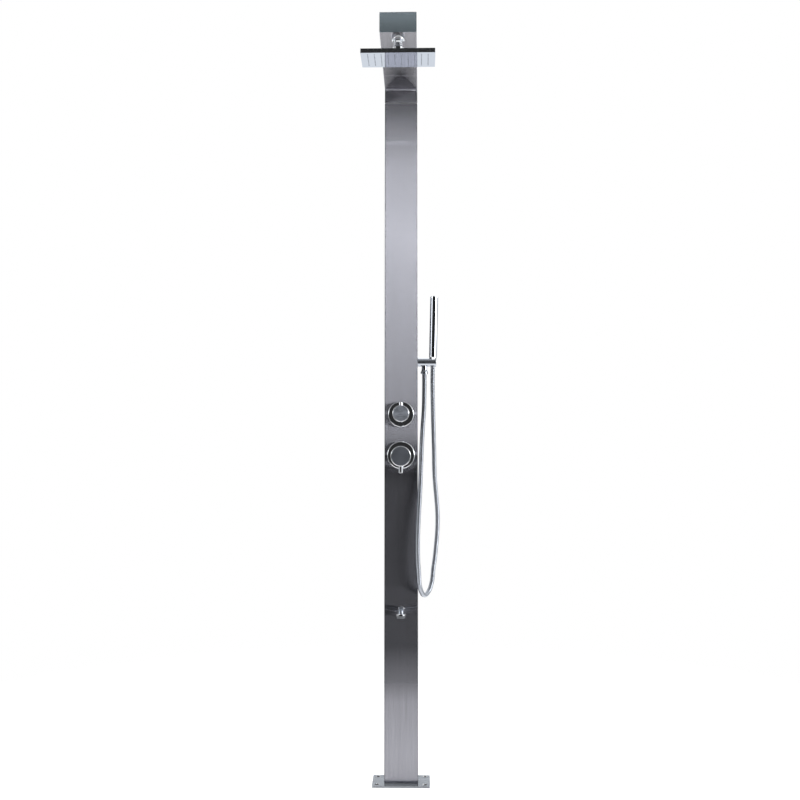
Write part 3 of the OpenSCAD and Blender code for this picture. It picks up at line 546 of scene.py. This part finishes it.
# ------------------------------------------------------------------ stage
def make_floor():
    rings, sides, verts, faces = 24, 96, [(0.0, 0.0, 0.0)], []
    for i in range(1, rings + 1):
        r = 2.4 * (i / rings) ** 1.4
        for j in range(sides):
            a = 2 * math.pi * j / sides
            verts.append((r * math.cos(a), r * math.sin(a), 0.0))
    for j in range(sides):
        faces.append((0, 1 + j, 1 + (j + 1) % sides))
    for i in range(rings - 1):
        for j in range(sides):
            a, b = 1 + i * sides, 1 + (i + 1) * sides
            k = (j + 1) % sides
            faces.append((a + j, b + j, b + k, a + k))
    floor = new_object("floor", verts, faces)
    floor.location.z = -0.0002
    mat, g = material("pale_floor")
    place = g.place()
    paper = g.noise(g.scaled(place, (90.0, 90.0, 90.0)), 3.0, 0.5)
    colour = g.mix(g.span(paper, 0.3, 0.7), (0.78, 0.78, 0.78), (0.82, 0.82, 0.82))
    matte = g.add("BsdfDiffuse", {"Color": colour})
    glow = g.add("Emission", {"Color": (1.0, 1.0, 1.0, 1.0), "Strength": 0.80})
    lit = g.add("AddShader", {0: matte.outputs[0], 1: glow.outputs[0]})
    away = g.vector("LENGTH", place)
    stops = [(0.0, 0.80), (0.3, 0.85), (1.0, 0.65), (1.4, 0.25), (2.2, 0.0)]
    cover = g.ramp(g.span(away, 0.0, 2.4), [(r / 2.4, v) for r, v in stops])
    fade = g.math("SUBTRACT", 1.0, g.parts(cover)[0])
    clear = g.add("BsdfTransparent")
    both = g.add("MixShader", {0: fade, 1: lit.outputs[0], 2: clear.outputs[0]})
    g.add("OutputMaterial", {"Surface": both.outputs[0]})
    floor.data.materials.append(mat)


make_floor()

# Light by elevation, in degrees, for each direction round the post: in front, the big soft boxes at the front left and
# right, the reflectors beside the post, and the white sweep behind it.
SIDES = [
    (-90, 0.6), (-24, 0.05), (-21, 0.05), (-20.5, 2.5), (-19, 2.5), (-18.5, 0.3), (-10, 0.9), (-1, 0.8), (0.5, 0.1),
    (2, 3.8), (10, 7.0), (14, 9.0), (18, 7.0), (22, 0.5), (25, 0.8), (26.5, 3.5), (30, 0.8), (90, 0.6),
]
FRONT = [(-90, 1.00), (-60, 0.95), (-42, 0.70), (-30, 0.03), (-21.3, 0.02), (-20.6, 1.80), (-19.2, 1.80), (-18.4, 0.04), (-6, 0.03), (6, 0.03), (12, 0.04), (20, 0.03), (22.8, 0.03), (23.4, 1.30), (24.9, 1.30), (25.2, 0.05), (30, 0.05), (45, 0.20), (70, 0.45), (90, 0.80)]
WINGS = [(-90, 0.90), (-38, 0.80), (-28, 0.08), (-18, 0.08), (-12, 0.50), (0, 0.80), (4, 1.20), (18, 1.30), (21, 0.60), (24, 0.60), (27, 1.40), (60, 0.90), (90, 0.80)]
REAR = [(-90, 0.9), (-26.5, 0.9), (-25, 2.4), (-21, 1.9), (-18, 0.9), (-5, 0.7), (2, 0.4), (11, 0.3), (14, 1.1), (40, 1.1), (90, 0.9)]
BACK = [(-90, 0.9), (-25, 1.0), (-24.5, 2.3), (-22.5, 1.2), (-21, 0.9), (0, 0.85), (10, 0.7), (14, 2.3), (40, 2.3), (60, 1.2), (90, 0.7)]


def make_light():
    world = bpy.data.worlds.new("studio")
    world.use_nodes = True
    scene.world = world
    g = Graph(world.node_tree)
    x, y, z = g.parts(g.add("TexCoord").outputs["Generated"])
    rise = g.math("MULTIPLY", g.math("ARCSINE", z), 180 / math.pi)
    bearing = g.math("MULTIPLY", g.math("ARCTAN2", x, g.math("MULTIPLY", y, -1.0)), 180 / math.pi)
    turn = g.math("ABSOLUTE", bearing)
    right = g.span(bearing, -8.0, 8.0)
    level = g.span(rise, -90.0, 90.0)

    def profile(stops):
        return g.ramp(level, [((a + 90) / 180, v / 16) for a, v in stops])

    def gain(colour, left_share, right_share):
        share = g.span(right, 0.0, 1.0, left_share, right_share)
        return g.add("VectorMath", {0: colour, "Scale": share}, operation="SCALE").outputs["Vector"]

    light = g.mix(g.span(turn, 48.0, 55.0, 0.0, 1.0, "SMOOTHSTEP"), profile(FRONT), gain(profile(SIDES), 0.5, 1.5))
    light = g.mix(g.span(turn, 76.0, 84.0, 0.0, 1.0, "SMOOTHSTEP"), light, gain(profile(WINGS), 0.7, 1.3))
    light = g.mix(g.span(turn, 110.0, 120.0, 0.0, 1.0, "SMOOTHSTEP"), light, profile(REAR))
    light = g.mix(g.span(turn, 156.0, 168.0, 0.0, 1.0, "SMOOTHSTEP"), light, profile(BACK))
    tinted = g.add("MixRGB", {"Fac": 1.0, "Color1": light, "Color2": (0.96, 0.98, 1.0, 1.0)}, blend_type="MULTIPLY")
    room = g.add("Background", {"Color": tinted.outputs[0], "Strength": 16.0})
    seen = g.add("Background", {"Color": (1.0, 1.0, 1.0, 1.0), "Strength": 1.0})
    direct = g.add("LightPath").outputs["Is Camera Ray"]
    both = g.add("MixShader", {0: direct, 1: room.outputs[0], 2: seen.outputs[0]})
    g.add("OutputWorld", {"Surface": both.outputs[0]})

    lamp = bpy.data.lights.new("soft_top", "AREA")
    lamp.shape = "DISK"
    lamp.size = 2.2
    lamp.energy = 28.0
    top = bpy.data.objects.new("soft_top", lamp)
    top.location = (-0.3, -0.6, 3.6)
    top.rotation_euler = (math.radians(-9), math.radians(-5), 0)
    top.visible_glossy = False
    top.visible_camera = False
    scene.collection.objects.link(top)


make_light()
scene.view_settings.view_transform = "Standard"
scene.view_settings.look = "None"
